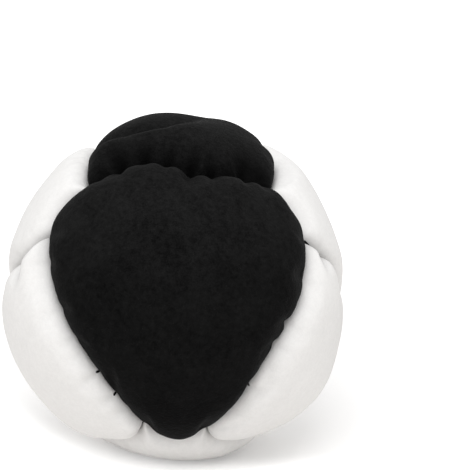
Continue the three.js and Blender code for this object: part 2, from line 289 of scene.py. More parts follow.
# Places where a panel is fuller or slacker: direction, height and width
SWELLS = {
    "top": [(on_rim(97), 0.85, 9.0), (on_rim(113), -0.35, 4.5), (on_rim(63), 0.8, 7.0),
            (seen_at(110, 143), 0.8, 5.0), (seen_at(130, 138), 0.65, 5.0),
            (seen_at(148, 136), 0.65, 5.0), (seen_at(166, 132), 0.65, 5.0),
            (seen_at(184, 128), 0.5, 5.0), (seen_at(208, 124), 0.25, 4.5),
            (seen_at(120, 160), -1.2, 5.0),
            (seen_at(254, 170), -1.8, 5.5), (seen_at(190, 161), -1.0, 2.0),
            (seen_at(190, 153), -0.6, 2.0), (seen_at(147, 161), -0.9, 1.7),
            (seen_at(173, 162), -0.9, 1.9)],
    "upper_left": [(on_rim(124), 0.7, 8.0)],
    "upper_right": [(on_rim(55), 0.6, 8.0)],
    "lower_left": [(on_rim(202), 0.4, 10.0), (seen_at(35, 252), 0.6, 3.5)],
    "lower_right": [(on_rim(-37), 2.3, 10.0), (on_rim(-9), -0.5, 10.0),
                    (seen_at(329, 268), 0.5, 3.5)],
    "base": [(on_rim(-64), 1.15, 8.0), (on_rim(-80), 0.25, 7.0), (on_rim(-104), -0.4, 10.0)],
}

# Slack fold of the top panel: its line, its depth, and how far it reaches to the front and back
FOLD_SEEN = [(97, 139), (112, 134.5), (129, 131), (143, 128), (158, 125.2), (173, 120.8),
             (187, 117.8), (202, 117.6)]
FOLD = np.array([seen_at(px, py, 1.0) for px, py in FOLD_SEEN] + [on_rim(76, -4), on_rim(72, -10)])
FOLD_POINTS = 200
FOLD_DEPTH = 3.8
FOLD_FRONT = 2.0
FOLD_BACK = 2.7
FOLD_SHARPNESS = 1.4
FOLD_FADE = (0.49, 0.89)

# Slow unevenness of the filling: height, direction and phase of each wave
LUMP_WAVES = [
    (0.16, (3.1, 1.7, -2.4), 0.3), (0.14, (-2.2, 3.9, 1.3), 1.9), (0.12, (4.3, -2.8, 3.6), 4.1),
    (0.1, (-6.4, 5.1, 4.7), 2.2), (0.08, (7.2, 6.3, -5.4), 5.2), (0.06, (-9.1, 8.4, 10.3), 0.8),
]


def seam_curve(first, last, between):
    """Smooth curve through directions, laid on the unit ball, with even steps. Each stretch is a
    cubic whose slope at a point follows the two points beside it."""
    p = np.array([CORNERS[first], *between, CORNERS[last]])
    p = np.vstack((2 * p[0] - p[1], p, 2 * p[-1] - p[-2]))
    t = np.linspace(0.0, 1.0, STRETCH_POINTS, endpoint=False)[:, None]
    parts = []
    for a, b, c, d in zip(p[:-3], p[1:-2], p[2:-1], p[3:]):
        bend = (2 * a - 5 * b + 4 * c - d) / 2 + t * (3 * b - a - 3 * c + d) / 2
        parts.append(b + t * ((c - a) / 2 + t * bend))
    return even_steps(unit(np.vstack(parts + [p[-2:-1]])), SEAM_POINTS)


Seam = namedtuple("Seam", "panels first last curve")


def all_seams():
    """Every seam with its two panels, its first and last corner and its curve."""
    seams = []
    for one, two, first, last, between in LONG_SEAMS + CORNER_SEAMS:
        if not between:
            between = [unit(PANEL_NORMALS[one] + PANEL_NORMALS[two])]
        seams.append(Seam((one, two), first, last, seam_curve(first, last, between)))
    return seams


SEAMS = all_seams()


def seam_stitches(seam):
    """Stitches of a seam: places along its curve, and gather depths in its two panels. Where none
    are placed they are evenly spaced, and a slow wave makes place and depth a little uneven."""
    curve = seam.curve
    one, two = seam.panels
    placed = PLACED_STITCHES.get(seam.panels)
    if placed:
        rows = np.array(placed)
        points = np.array([behind_edge(px, py) for px, py in rows[:, :2]])
        return (points @ curve.T).argmax(axis=1).astype(float), rows[:, 2], rows[:, 3]
    length = np.linalg.norm(np.diff(curve, axis=0), axis=1).sum() * BALL_RADIUS
    count = max(2, int(round(length / STITCH_PITCH)))
    k = np.arange(count)
    wander = STITCH_WANDER * np.sin(2.4 * k + 1.7 * len(one) + len(two))
    depth = PLAIN_GATHER * (1.0 + GATHER_WANDER * np.sin(1.9 * k + len(two)))
    return (k + 0.5 + wander) / count * (len(curve) - 1), depth, depth


def panel_loop(panel):
    """Border of a panel as one closed loop of directions, anticlockwise from outside, evenly
    stepped, and the panel's middle."""
    rest = [seam for seam in SEAMS if panel in seam.panels]
    chain, end = [rest[0].curve], rest[0].last
    rest = rest[1:]
    while rest:
        joined = next(k for k, seam in enumerate(rest) if end in (seam.first, seam.last))
        seam = rest.pop(joined)
        ahead = seam.first == end
        chain.append(seam.curve if ahead else seam.curve[::-1])
        end = seam.last if ahead else seam.first
    loop = np.concatenate([c[:-1] for c in chain])
    middle = unit(loop.mean(axis=0))
    if np.dot(np.cross(loop, np.roll(loop, -1, axis=0)).sum(axis=0), middle) < 0:
        loop = loop[::-1]
    return even_steps(loop, LOOP_POINTS, closed=True), middle


def panel_stitches(panel):
    """Stitches round a panel: directions, and the depth, width and reach of each one's gather."""
    points, depths, shapes = [], [], []
    for seam in SEAMS:
        if panel in seam.panels:
            side = seam.panels.index(panel)
            places, *depth = seam_stitches(seam)
            points.append(unit(resample(seam.curve, places)))
            depths.append(depth[side])
            shapes += [GATHERS.get(seam.panels, PLAIN_GATHERS)[side]] * len(places)
    return np.vstack(points), np.concatenate(depths), *np.array(shapes).T


def bells(d, panel, sign):
    """Height of a panel's full places, or of its slack ones: each a bell around its direction."""
    height = np.zeros(len(d))
    for place, rise, width in SWELLS.get(panel, []):
        if rise * sign > 0.0:
            away = np.arccos(np.clip(d @ place, -1, 1)) * BALL_RADIUS
            height += rise * np.exp(-(away / width) ** 2)
    return height


def lumps(d, panel):
    """Slow unevenness of a hand-filled ball, in millimetres: waves over direction d, and the
    panel's own full and slack places, each a bell around its direction."""
    height = sum(a * np.sin(d @ np.array(k) + p) for a, k, p in LUMP_WAVES)
    return height + bells(d, panel, 1.0) + bells(d, panel, -1.0)


def edge_rise(gap, panel):
    """Share of the full height at a distance from the border: a squarish quarter round."""
    roll, square = PANELS[panel]["roll"], PANELS[panel]["square"]
    short = 1.0 - np.clip(gap / roll, 0.0, 1.0)
    return (1.0 - short ** square) ** (1.0 / square)


def edge_height(gap, panel):
    """Height of a panel's rolled edge over the ball's middle at a distance from the border."""
    return SEAM_RADIUS + (PANELS[panel]["crown"] - SEAM_RADIUS) * edge_rise(gap, panel)


def fold_dip(d):
    """Depth of the fold: a crease along a curve, short on its front side, drawn out behind and
    dying out along the curve."""
    line = unit(resample(FOLD, np.linspace(0, len(FOLD) - 1, FOLD_POINTS)))
    gaps = np.linalg.norm(d[:, None, :] - line[None, :, :], axis=2)
    near = gaps.argmin(axis=1)
    away = gaps[np.arange(len(d)), near] * BALL_RADIUS
    along = unit(np.gradient(line, axis=0))[near]
    side = np.einsum("ij,ij->i", np.cross(along, d - line[near]), line[near])
    reach = np.where(side > 0, FOLD_BACK, FOLD_FRONT)
    start, stop = FOLD_FADE
    fade = np.clip((stop - near / (len(line) - 1)) / (stop - start), 0, 1)
    return FOLD_DEPTH * np.exp(-(away / reach) ** FOLD_SHARPNESS) * fade * fade * (3 - 2 * fade)


def panel_grid(loop, middle):
    """Directions of a square grid laid on a panel so that its rings are the border drawn in
    towards the middle, and the share of the way out of each."""
    line = np.linspace(-1.0, 1.0, GRID + 1)
    a, b = (m.ravel() for m in np.meshgrid(line, line, indexing="ij"))
    level = np.maximum(np.abs(a), np.abs(b))
    p, q = a / np.maximum(level, 1e-9), b / np.maximum(level, 1e-9)
    low, right, high = q <= -1 + 1e-6, p >= 1 - 1e-6, q >= 1 - 1e-6
    ring = np.where(low & ~right, (p + 1) / 8, np.where(
        right & ~high, (q + 3) / 8, np.where(high & (p > -1 + 1e-6), (5 - p) / 8, (7 - q) / 8)))
    border = loop[np.rint(ring * LOOP_POINTS).astype(int) % LOOP_POINTS]
    out = 1.0 - (1.0 - level) ** ROW_CROWDING
    angle = np.arccos(np.clip(border @ middle, -1, 1))
    near, far = np.sin((1 - out) * angle), np.sin(out * angle)
    return unit(near[:, None] * middle + far[:, None] * border), level


def border_gap(d, curves):
    """Distance of each direction from the seams, along the ball. Where two seams are about as
    near, it is a little less, so that no ridge runs in from a corner."""
    near = np.stack([(d @ curve.T).max(axis=1) for curve in curves])
    gaps = np.arccos(np.clip(near, -1, 1)) * BALL_RADIUS
    least = np.maximum(gaps.min(axis=0), 1e-6)
    return least * ((least / np.maximum(gaps, 1e-6)) ** GAP_POWER).sum(axis=0) ** (-1 / GAP_POWER)


def gather_depth(d, gap, stitches, depth, width, reach):
    """Depth of the gathers: a groove runs in from each stitch, widens and dies out. Also the
    distance to the nearest stitch that is drawn tight."""
    away = np.arccos(np.clip(d @ stitches.T, -1, 1)) * BALL_RADIUS
    aside = np.sqrt(np.maximum(away ** 2 - gap[:, None] ** 2, 0.0))
    groove = np.exp(-(aside / (width + GATHER_SPREAD * gap[:, None])) ** 2)
    pull = depth * groove * np.exp(-(away / reach) ** GATHER_FADE)
    tight = np.where(depth > TIGHT_GATHER, away, np.inf).min(axis=1)
    return pull.max(axis=1) * np.clip(gap / GATHER_START, 0, 1), tight


def grid_faces(n):
    """Quads of a square grid of n cells a side."""
    k = np.arange((n + 1) * (n + 1)).reshape(n + 1, n + 1)
    return np.stack((k[:-1, :-1], k[1:, :-1], k[1:, 1:], k[:-1, 1:]), axis=-1).reshape(-1, 4)


def new_object(name, points, faces, uv=None):
    """Smooth mesh object at the origin from points in metres, with face corners laid out by uv."""
    mesh = bpy.data.meshes.new(name)
    mesh.from_pydata(np.asarray(points).tolist(), [], faces)
    mesh.polygons.foreach_set("use_smooth", np.ones(len(mesh.polygons), bool))
    if uv is not None:
        mesh.uv_layers.new(name="strand").data.foreach_set("uv", np.ravel(uv))
    mesh.update()
    piece = bpy.data.objects.new(name, mesh)
    bpy.context.scene.collection.objects.link(piece)
    return piece


# Swelling of the cloth, worked out on a large copy that starts lower
SWELL_SCALE = 25.0
SWELL_FRAMES = 20
SWELL_PRESSURE = 4.0
SWELL_SLACK = 0.015
SWELL_START = 0.55
SWELL_EDGE = 8.0
SWELL_LIMIT = 1.2
SWELL_FADE = 1.5
SWELL_QUALITY = 5
SWELL_STIFFNESS = 8.0
SWELL_SMOOTHING = {"black_cloth": 1, "white_cloth": 10}

# Cloth held still in the swelling: the border, and a share around stitches and in the fold
HELD_BORDER = 0.05
HELD_SHARE = 0.9
HELD_REACH = 0.9

# Painted shade on the cloth's colour: gather depth at which it is full, width of the painted shade
# in the creases between white panels, and the share of it in the creases that is less than full
PAINTED_SHADE_DEPTH = 2.0
CREASE_SHADE_WIDTH = 1.1
CREASE_SHADE_SHARE = {("lower_left", "base"): 0.35, ("lower_right", "base"): 0.45}


def smoothed(values, rounds):
    """Values on a panel's grid after rounds of averaging each with the eight around it."""
    grid = values.reshape(GRID + 1, GRID + 1, -1)
    for _ in range(rounds):
        for axis in (0, 1):
            wide = np.concatenate((grid.take([0], axis), grid, grid.take([-1], axis)), axis)
            ahead, behind = np.arange(2, GRID + 3), np.arange(GRID + 1)
            grid = 0.5 * grid + 0.25 * (wide.take(ahead, axis) + wide.take(behind, axis))
    return grid.reshape(values.shape)


def swollen(points, faces, gap, held, smoothing):
    """Points after the filling has pressed the cloth out. The border and the stitches hold it, and
    no point moves further than the limit."""
    start = points * MM * SWELL_SCALE
    copy = new_object("swelling", start, faces.tolist())
    group = copy.vertex_groups.new(name="held")
    for level in np.linspace(0.1, 1.0, 10):
        index = np.nonzero(np.abs(held - level) <= 0.05)[0]
        group.add(index.tolist(), float(level), "REPLACE")
    cloth = copy.modifiers.new("cloth", "CLOTH")
    cloth.settings.vertex_group_mass = "held"
    cloth.settings.quality = SWELL_QUALITY
    cloth.settings.bending_stiffness = SWELL_STIFFNESS
    cloth.settings.use_pressure = True
    cloth.settings.uniform_pressure_force = SWELL_PRESSURE
    cloth.settings.shrink_min = -SWELL_SLACK
    cloth.settings.effector_weights.gravity = 0.0
    cloth.collision_settings.use_collision = False
    scene = bpy.context.scene
    for number in range(1, SWELL_FRAMES + 1):
        scene.frame_set(number)
    result = copy.evaluated_get(bpy.context.evaluated_depsgraph_get()).data
    moved = np.empty(len(points) * 3)
    result.vertices.foreach_get("co", moved)
    scene.frame_set(1)
    mesh = copy.data
    bpy.data.objects.remove(copy)
    bpy.data.meshes.remove(mesh)
    step = smoothed((moved.reshape(-1, 3) - start) / (MM * SWELL_SCALE), smoothing)
    size = np.linalg.norm(step, axis=1)
    step = step * (np.minimum(size, SWELL_LIMIT) / np.maximum(size, 1e-9))[:, None]
    return points + step * np.clip(gap / SWELL_FADE, 0.0, 1.0)[:, None]


def painted_hollow_shade(d, panel, gather):
    """Share of painted shade, from 0 to 1, that darkens the cloth where it lies in shade: at the
    gathers, in the slack places and in the creases between two white panels."""
    crease_shade = np.zeros(len(d))
    for seam in SEAMS:
        cloths = {PANELS[side]["cloth"] for side in seam.panels}
        if panel in seam.panels and cloths == {"white_cloth"}:
            near = np.exp(-(border_gap(d, [seam.curve]) / CREASE_SHADE_WIDTH) ** 2)
            crease_shade = np.maximum(crease_shade, CREASE_SHADE_SHARE.get(seam.panels, 1.0) * near)
    return np.clip((gather - bells(d, panel, -1.0)) / PAINTED_SHADE_DEPTH + crease_shade, 0.0, 1.0)


def panel_points(panel, faces):
    """Points of one panel's cloth on its grid. The height over the ball's middle rises from the
    seam to the crown like a rolled edge, less the fold and the gathers at the stitches. Also the
    share of painted shade there, from 0 to 1, for gathers, slack places and creases."""
    loop, middle = panel_loop(panel)
    d, level = panel_grid(loop, middle)
    curves = [seam.curve for seam in SEAMS if panel in seam.panels]
    gap = np.where(level > 1 - 1e-6, 0.0, border_gap(d, curves))
    gather, stitch_gap = gather_depth(d, gap, *panel_stitches(panel))
    rise = edge_rise(gap, panel)
    full = PANELS[panel]["crown"] - SEAM_RADIUS + lumps(d, panel)
    held = np.maximum(gap < HELD_BORDER, HELD_SHARE * np.exp(-(stitch_gap / HELD_REACH) ** 2))
    if panel == "top":
        dip = fold_dip(d)
        full = full - dip
        held = np.maximum(held, HELD_SHARE * dip / FOLD_DEPTH)
    lower = SWELL_START * np.clip(gap / SWELL_EDGE, 0.0, 1.0)
    start = d * (SEAM_RADIUS + full * rise - lower)[:, None]
    points = swollen(start, faces, gap, held, SWELL_SMOOTHING[PANELS[panel]["cloth"]])
    points = BALL_CENTRE + points - d * gather[:, None]
    points[:, 2] = np.maximum(points[:, 2], 0.0)
    return points, painted_hollow_shade(d, panel, gather)


def make_panel(panel):
    """Cloth of one panel, with its thickness."""
    faces = grid_faces(GRID)
    points, painted_shade = panel_points(panel, faces)
    piece = new_object(f"{panel}_cloth", points * MM, faces.tolist())
    # Painted shade: the share of shade in gathers, slack places and creases, which the material
    # takes off the colour.
    piece.data.attributes.new("painted_shade", "FLOAT", "POINT").data.foreach_set("value", painted_shade)
    piece.data.materials.append(MATERIALS[PANELS[panel]["cloth"]])
    wall = piece.modifiers.new("thickness", "SOLIDIFY")
    wall.thickness = CLOTH_THICKNESS * MM
    wall.offset = -1.0
    fine = piece.modifiers.new("fine", "SUBSURF")
    fine.levels = fine.render_levels = 1
    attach(piece, "root")
    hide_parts(f"{panel}_panel")


# Filling, a little lower than the inside of the cloth
FILL_CLEARANCE = 1.0
FILL_SEAM = 25.2
FILL_FLOOR = 1.6
FILL_ROWS = 84


def panel_of(d):
    """Name of the panel that each direction falls in: the side of the nearest point of a seam."""
    curves = np.vstack([seam.curve for seam in SEAMS])
    along = np.vstack([np.gradient(seam.curve, axis=0) for seam in SEAMS])
    near = np.concatenate([(part @ curves.T).argmax(axis=1) for part in np.array_split(d, 8)])
    left = np.einsum("ij,ij->i", np.cross(curves[near], along[near]), d) > 0
    sides = []
    for seam in SEAMS:
        one, two = seam.panels
        inward = np.cross(seam.curve, np.gradient(seam.curve, axis=0)).mean(axis=0)
        first_left = np.dot(inward, panel_loop(one)[1] - panel_loop(two)[1]) > 0
        sides.append((two, one) if first_left else (one, two))
    return np.array(sides)[near // SEAM_POINTS, left.astype(int)]


def fill_height(d):
    """Height of the filling over the ball's middle: the cloth's, less its thickness and a
    clearance, with the crease wider by as much."""
    wall = CLOTH_THICKNESS + FILL_CLEARANCE
    gap = border_gap(d, [seam.curve for seam in SEAMS])
    height = np.empty(len(d))
    names = panel_of(d)
    for panel, shape in PANELS.items():
        part = names == panel
        rise = edge_rise(np.maximum(gap[part] - wall, 0.0), panel)
        full = shape["crown"] - wall - FILL_SEAM + lumps(d[part], panel)
        if panel == "top":
            full = full - fold_dip(d[part])
        gather, _ = gather_depth(d[part], gap[part], *panel_stitches(panel))
        height[part] = FILL_SEAM + full * rise - gather * rise
    return height


def make_filling():
    """Filling: a ball in rows from pole to pole, drawn in below every seam and below the fold."""
    tilt = np.linspace(0.0, math.pi, FILL_ROWS + 1)[1:-1, None]
    turn = np.linspace(0.0, 2 * math.pi, 2 * FILL_ROWS, endpoint=False)[None, :]
    d = np.stack((np.sin(tilt) * np.cos(turn), np.sin(tilt) * np.sin(turn),
                  np.cos(tilt) + 0.0 * turn), axis=-1).reshape(-1, 3)
    d = np.vstack((d, (0.0, 0.0, 1.0), (0.0, 0.0, -1.0)))
    points = BALL_CENTRE + d * fill_height(d)[:, None]
    points[:, 2] = np.maximum(points[:, 2], FILL_FLOOR)
    wide = 2 * FILL_ROWS
    k = np.arange((FILL_ROWS - 1) * wide).reshape(FILL_ROWS - 1, wide)
    ahead = np.roll(k, -1, axis=1)
    quads = np.stack((k[:-1], k[1:], ahead[1:], ahead[:-1]), axis=-1).reshape(-1, 4)
    top, bottom = len(d) - 2, len(d) - 1
    caps = np.vstack((np.stack((np.full(wide, top), k[0], ahead[0]), 1),
                      np.stack((np.full(wide, bottom), ahead[-1], k[-1]), 1)))
    piece = new_object("filling", points * MM, quads.tolist() + caps.tolist())
    piece.data.materials.append(MATERIALS["stuffing_fibre"])
    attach(piece, "root")
    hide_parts("stuffing")


# Thread: a ladder stitch, hidden in the rolled edges except where it crosses the crease. A rung
# crosses the crease, and a run follows one panel's edge to the next rung.
THREAD_RADIUS = 0.25
THREAD_SIDES = 8
THREAD_STEPS = 8
THREAD_TWIST = 1.2
RUNG_HEIGHT = 28.3
RUNG_SINK = 0.7
RUNG_SINK_MOST = 2.0
RUNG_ASIDE = 0.35
RUN_HEIGHT = 27.8
RUN_ASIDE = 1.1
STITCH_SHARE = 0.3
STITCH_PLACES = (-0.8, -0.1, 0.0, 0.1, 0.8)
MARK_ASIDE = 0.5
LINE_LIFT = -0.05
SOFTENING = (1.0, 2.0, 3.0, 2.0, 1.0)


def thread_path(seam):
    """Path of one seam's thread from the ball's middle, and the direction out of the ball along it.
    Five points make a stitch: the end of a run, a rung and the start of the next run. A mark is a
    rung that reaches over the second panel's edge, and a line is a run that lies on the first's,
    whose dark is also painted shade for the crease's shadow."""
    one, two = seam.panels
    curve = seam.curve
    places, *depths = seam_stitches(seam)
    order = np.argsort(places)
    places = places[order]
    rung = RUNG_HEIGHT - RUNG_SINK * np.minimum(np.minimum(*depths)[order], RUNG_SINK_MOST)
    low = np.minimum(rung, RUN_HEIGHT)
    rise = np.stack((low, rung, rung, rung, low), axis=1)
    side = np.where(np.arange(len(places)) % 2 == 0, 1.0, -1.0)
    aside = side[:, None] * np.array((RUN_ASIDE, RUNG_ASIDE, 0, -RUNG_ASIDE, -RUN_ASIDE))
    half = STITCH_SHARE * np.diff(places).mean()
    at = (places[:, None] + np.array(STITCH_PLACES) * half).ravel()

    left = np.cross(curve, np.gradient(curve, axis=0)).mean(axis=0)
    second = np.sign(np.dot(left, panel_loop(two)[1] - panel_loop(one)[1]))
    marked = np.isin(order, THREAD_MARKS.get(seam.panels, []))[:, None]
    over = marked & (np.sign(aside) == second) & (np.abs(aside) == RUNG_ASIDE)
    reach = GATHERS.get(seam.panels, PLAIN_GATHERS)[1][1]
    pulled_in = depths[1][order] * math.exp(-(MARK_ASIDE / reach) ** GATHER_FADE)
    rise = np.where(over, (edge_height(MARK_ASIDE, two) - pulled_in)[:, None], rise)
    aside = np.where(over, second * MARK_ASIDE, aside)

    # A line of thread on the edge, whose dark also stands in for the crease's shadow as painted
    # shade.
    line_aside, shade_lined = THREAD_SHADE_LINES.get(seam.panels, (RUNG_ASIDE, []))
    on_edge = np.isin(order, shade_lined)[:, None] & (np.arange(len(STITCH_PLACES)) > 1)
    rise = np.where(on_edge, edge_height(line_aside, one) + LINE_LIFT, rise).ravel()
    aside = np.where(on_edge, -second * line_aside, aside).ravel()

    fine = np.linspace(0, len(at) - 1, THREAD_STEPS * (len(at) - 1) + 1)
    at, aside, rise = (np.interp(fine, np.arange(len(v)), v) for v in (at, aside, rise))
    at = np.clip(at, 0, len(curve) - 1)
    out = unit(resample(curve, at))
    along = unit(resample(np.gradient(curve, axis=0), at))
    path = out * rise[:, None] + np.cross(out, along) * aside[:, None]
    kernel = np.array(SOFTENING) / sum(SOFTENING)
    return np.stack([np.convolve(np.pad(path[:, k], len(kernel) // 2, mode="edge"), kernel, "valid")
                     for k in range(3)], 1), out


def make_thread(seam):
    """Thread of one seam: a tube along its path, laid out by length and by turn for its twist."""
    one, two = seam.panels
    path, out = thread_path(seam)
    tangent = unit(np.gradient(path, axis=0))
    normal = unit(out - np.einsum("ij,ij->i", out, tangent)[:, None] * tangent)
    across = np.cross(tangent, normal)
    turn = np.linspace(0, 2 * math.pi, THREAD_SIDES, endpoint=False)[None, :, None]
    ring = (np.cos(turn) * normal[:, None] + np.sin(turn) * across[:, None]) * THREAD_RADIUS
    points = (BALL_CENTRE + path[:, None] + ring).reshape(-1, 3)
    k = np.arange(len(points)).reshape(len(path), THREAD_SIDES)
    ahead = np.roll(k, -1, axis=1)
    quads = np.stack((k[:-1], ahead[:-1], ahead[1:], k[1:]), axis=-1).reshape(-1, 4)
    ends = [k[0][::-1].tolist(), k[-1].tolist()]
    length = np.concatenate(([0.0], np.cumsum(np.linalg.norm(np.diff(path, axis=0), axis=1))))
    u = length[:, None] / THREAD_TWIST + np.zeros(THREAD_SIDES)
    v = np.arange(THREAD_SIDES) / THREAD_SIDES + 0.0 * u
    step = 1.0 / THREAD_SIDES
    uv = np.stack((np.stack((u[:-1], u[:-1], u[1:], u[1:]), -1),
                   np.stack((v[:-1], v[:-1] + step, v[1:] + step, v[1:]), -1)), -1).ravel()
    uv = np.concatenate((uv, np.zeros(4 * THREAD_SIDES)))
    piece = new_object(f"{one}_{two}_thread", points * MM, quads.tolist() + ends, uv)
    piece.data.materials.append(MATERIALS["sewing_thread"])
    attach(piece, "root")
    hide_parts(f"thread_{one}_{two}")


class Nodes:
    """Short hand for building one node tree."""

    def __init__(self, tree):
        self.tree = tree

    def add(self, kind, inputs=(), **settings):
        """New node with settings, and inputs that are values or other nodes' outputs."""
        node = self.tree.nodes.new(kind)
        for key, value in settings.items():
            setattr(node, key, value)
        for key, value in dict(inputs).items():
            self.give(node.inputs[key], value)
        return node

    def give(self, socket, value):
        """Set an input, or link it to an output."""
        if isinstance(value, bpy.types.NodeSocket):
            self.tree.links.new(value, socket)
        else:
            socket.default_value = value

    def maths(self, operation, *values):
        """Output of a sum on up to three values."""
        return self.add("ShaderNodeMath", enumerate(values), operation=operation).outputs[0]

    def noise(self, vector, scale, detail, distortion=0.0):
        """Output of a cloudy pattern around 0, from about -0.5 to 0.5."""
        node = self.add("ShaderNodeTexNoise", {"Vector": vector, "Scale": scale, "Detail": detail,
                                               "Distortion": distortion})
        return self.maths("SUBTRACT", node.outputs[0], 0.5)

    def looked_at(self):
        """Output that is 1 where the camera looks, straight or by a mirror or through glass."""
        rays = self.add("ShaderNodeLightPath").outputs
        seen_by = self.maths("MAXIMUM", rays["Is Camera Ray"], rays["Is Glossy Ray"])
        return self.maths("MAXIMUM", seen_by, rays["Is Transmission Ray"])

    def total(self, *pairs):
        """Weighted sum of outputs."""
        result = 0.0
        for value, weight in pairs:
            result = self.maths("MULTIPLY_ADD", value, weight, result)
        return result


def new_group(name, inputs, outputs):
    """Node group with named inputs and outputs: its tree, its inputs and its output node."""
    tree = bpy.data.node_groups.new(name, "ShaderNodeTree")
    for label, kind in inputs:
        tree.interface.new_socket(label, in_out="INPUT", socket_type=f"NodeSocket{kind}")
    for label, kind in outputs:
        tree.interface.new_socket(label, in_out="OUTPUT", socket_type=f"NodeSocket{kind}")
    entry = tree.nodes.new("NodeGroupInput")
    return tree, entry.outputs, tree.nodes.new("NodeGroupOutput").inputs


SURFACE_INPUTS = [("Vector", "Vector"), ("Colour", "Color"), ("Spread", "Float"),
                  ("Facing", "Vector"), ("Lift", "Float"), ("Pressed", "Float")]
SURFACE_OUTPUTS = [("Colour", "Color"), ("Roughness", "Float"), ("Height", "Float")]

# Painted light and shade, as light from above falls: how far up a surface faces where it starts and
# stops being painted lighter, the same for painted darker, and how much of the painted light makes
# it darker
TOP_LIGHT_FACING = (0.15, 0.95)
UNDER_SHADE_FACING = (0.0, -0.6)
UNDER_SHADE_SHARE = 0.58


def finish_group(n, entry, out, shade, rough, height):
    """Colour times one plus the spread times the shade, with painted light and shade as light from
    above falls: lighter by the painted light where the surface faces up, darker by part of it where
    it faces down, and less by the painted shade share of gathers and creases. Roughness and height
    are as given."""
    factor = n.maths("MULTIPLY_ADD", shade, entry["Spread"], 1.0)
    upward = n.add("ShaderNodeSeparateXYZ", {0: entry["Facing"]}).outputs[2]
    upper, lower = (
        n.add("ShaderNodeMapRange", {"Value": upward, "From Min": begin, "From Max": end},
              interpolation_type="SMOOTHSTEP").outputs[0]
        for begin, end in (TOP_LIGHT_FACING, UNDER_SHADE_FACING))
    # Painted light and shade: lighter where the surface faces up and darker where it faces down, as
    # light from above falls.
    tilt = n.total((upper, 1.0), (lower, -UNDER_SHADE_SHARE))
    factor = n.maths("MULTIPLY", factor, n.maths("MULTIPLY_ADD", tilt, entry["Lift"], 1.0))
    # Painted shade: darker by the share of shade in gathers and creases.
    factor = n.maths("MULTIPLY", factor, n.maths("SUBTRACT", 1.0, entry["Pressed"]))
    colour = n.add("ShaderNodeVectorMath", {0: entry["Colour"]}, operation="SCALE")
    n.give(colour.inputs["Scale"], factor)
    n.give(out["Colour"], colour.outputs[0])
    n.give(out["Roughness"], rough)
    n.give(out["Height"], height)


def nap_group():
    """Short suede nap: fine grain, small mottling and broad patches where the nap lies over."""
    # The finish adds painted light from above, painted shade underneath and painted shade in
    # gathers and creases.
    tree, entry, out = new_group("short_nap_and_painted_shading", SURFACE_INPUTS, SURFACE_OUTPUTS)
    n = Nodes(tree)
    grain = n.noise(entry["Vector"], 3600.0, 2.0)
    mottle = n.noise(entry["Vector"], 1100.0, 2.0)
    broad = n.noise(entry["Vector"], 150.0, 2.0, 0.6)
    shade = n.total((grain, 0.7), (mottle, 0.8), (broad, 0.5))
    finish_group(n, entry, out, shade, n.maths("MULTIPLY_ADD", mottle, 0.25, 0.85),
                 n.total((grain, 0.5), (mottle, 0.7)))
    return tree


def strand_group():
    """Twisted strand: slanting bands round the thread, and fuzz."""
    tree, entry, out = new_group("twisted_strand", SURFACE_INPUTS, SURFACE_OUTPUTS)
    n = Nodes(tree)
    part = n.add("ShaderNodeSeparateXYZ", {0: entry["Vector"]}).outputs
    slant = n.maths("MULTIPLY_ADD", part[1], 2.0, part[0])
    band = n.maths("SUBTRACT", n.maths("PINGPONG", slant, 0.5), 0.25)
    fuzz = n.noise(entry["Vector"], 9.0, 3.0)
    shade = n.total((band, 2.0), (fuzz, 0.8))
    finish_group(n, entry, out, shade, n.maths("MULTIPLY_ADD", fuzz, 0.3, 0.75),
                 n.total((band, 2.0), (fuzz, 0.4)))
    return tree


def fibre_group():
    """Carded filling: long swirls of fibre over soft tufts."""
    tree, entry, out = new_group("carded_fibre", SURFACE_INPUTS, SURFACE_OUTPUTS)
    n = Nodes(tree)
    swirl = n.noise(entry["Vector"], 900.0, 4.0, 4.0)
    tuft = n.noise(entry["Vector"], 180.0, 2.0)
    shade = n.total((swirl, 0.9), (tuft, 0.7))
    finish_group(n, entry, out, shade, n.maths("MULTIPLY_ADD", swirl, 0.2, 0.9),
                 n.total((swirl, 0.6), (tuft, 1.0)))
    return tree


def new_material(name, group, coordinate, colour, spread, bump, painted_light=0.0, shade_strength=0.0, **others):
    """Material whose colour, roughness and relief come from a surface group. The bump is a strength
    and a depth, the painted light paints what faces up lighter and what faces down darker, and the
    shade strength is how much colour the painted shade of gathers and creases takes off. The others
    are the shader's own values."""
    material = bpy.data.materials.new(name)
    material.use_nodes = True
    n = Nodes(material.node_tree)
    shader = material.node_tree.nodes["Principled BSDF"]
    place = n.add("ShaderNodeTexCoord").outputs
    surface = n.add("ShaderNodeGroup", node_tree=group)
    # Painted shade: the panel's share of shade in gathers and creases, scaled by the shade
    # strength.
    painted_shade = n.add("ShaderNodeAttribute", attribute_name="painted_shade").outputs["Fac"]
    given = {"Vector": place[coordinate], "Colour": (*colour, 1.0), "Spread": spread,
             "Facing": place["Normal"], "Lift": painted_light, "Pressed": n.maths("MULTIPLY", painted_shade, shade_strength)}
    for key, value in given.items():
        n.give(surface.inputs[key], value)
    strength, depth = bump
    relief = n.add("ShaderNodeBump", {"Strength": strength, "Distance": depth * MM,
                                      "Height": surface.outputs["Height"]})
    n.give(shader.inputs["Base Color"], surface.outputs["Colour"])
    n.give(shader.inputs["Roughness"], surface.outputs["Roughness"])
    n.give(shader.inputs["Normal"], relief.outputs["Normal"])
    for key, value in others.items():
        shader.inputs[key.replace("_", " ")].default_value = value
    return material


